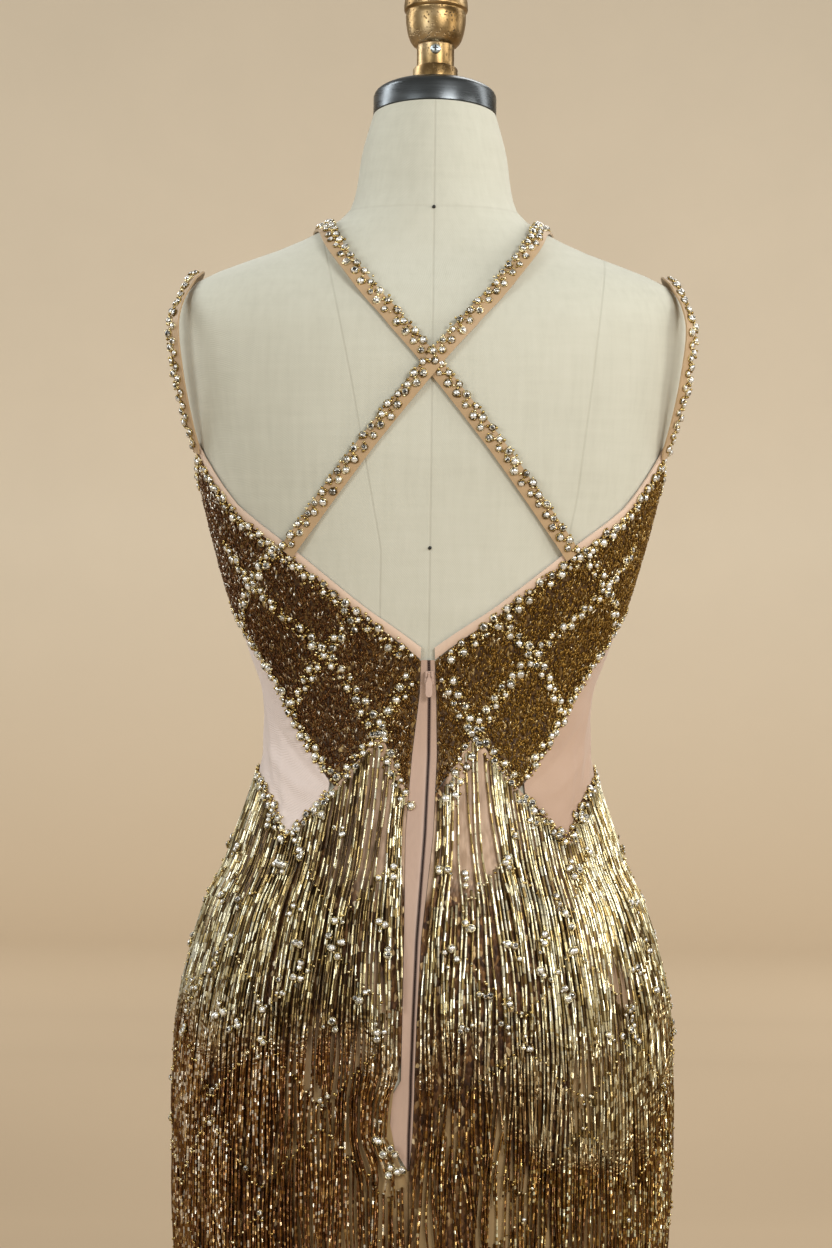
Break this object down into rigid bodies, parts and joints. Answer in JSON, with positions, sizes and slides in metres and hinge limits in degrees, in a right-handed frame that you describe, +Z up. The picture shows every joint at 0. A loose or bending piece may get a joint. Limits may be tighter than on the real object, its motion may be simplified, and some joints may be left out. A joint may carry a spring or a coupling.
{
  "type": "mermaid evening gown on a dress form",
  "caption": "Backless mermaid evening gown of bead strings with crossed stone-set straps and net side panels, worn by a limbless linen dress form on a round stand.",
  "frame": {"origin": "on the floor under the middle of the stand's base, below the middle of the whole object", "axes": "+Z up; the gown's front faces -Y and its open back faces +Y; +X is the wearer's left"},
  "size_m": [0.8358, 0.813, 1.617],
  "materials": {
    "linen": "plain-woven linen cover, matt",
    "bronze_beads": "net covered with dark bronze and gold seed beads",
    "gold_lining": "nude-gold net lining that carries the fringe",
    "gold_strings": "strings of pale gold and bronze beads, glossy",
    "nude_net": "fine nude stretch net, matt, softly creased",
    "nude_tape": "nude satin tape and painted zip parts, half matt",
    "stone_band": "nude mesh band set with clear stones and gold beads",
    "dark_steel": "darkened steel, brushed round",
    "aged_brass": "old pitted brass, half polished",
    "bright_steel": "bright zinc-plated screw head"
  },
  "bodies": {
    "root": {"dress_form": "linen", "neck_cap": "dark_steel", "finial": "aged_brass", "finial_screw": "bright_steel", "stand_base": "dark_steel", "stand_pole": "dark_steel", "back_bodice_left": "bronze_beads", "back_bodice_right": "bronze_beads", "front_bodice": "bronze_beads", "back_binding_left": "nude_tape", "back_binding_right": "nude_tape", "front_binding": "nude_tape", "side_net_left": "nude_net", "side_net_right": "nude_net", "skirt_back_left": "gold_lining", "skirt_back_right": "gold_lining", "skirt_front": "gold_lining", "zip_tape_left": "nude_tape", "zip_tape_right": "nude_tape", "zip_slider": "nude_tape", "outer_strap_left": "stone_band", "outer_strap_right": "stone_band", "cross_strap_over": "stone_band", "cross_strap_under": "stone_band", "fringe_tier_1": "gold_strings", "fringe_tier_2": "gold_strings", "fringe_tier_3": "gold_strings", "fringe_tier_4": "gold_strings", "fringe_tier_5": "gold_strings"},
    "pull": {"zip_pull": "nude_tape"}
  },
  "joints": [
    {"name": "zip_pull_swing", "type": "hinge", "parent": "root", "child": "pull", "pos_m": [-0.00066, 0.08632, 1.09], "axis": [1, 0, 0], "range_deg": [0, 150]}
  ]
}
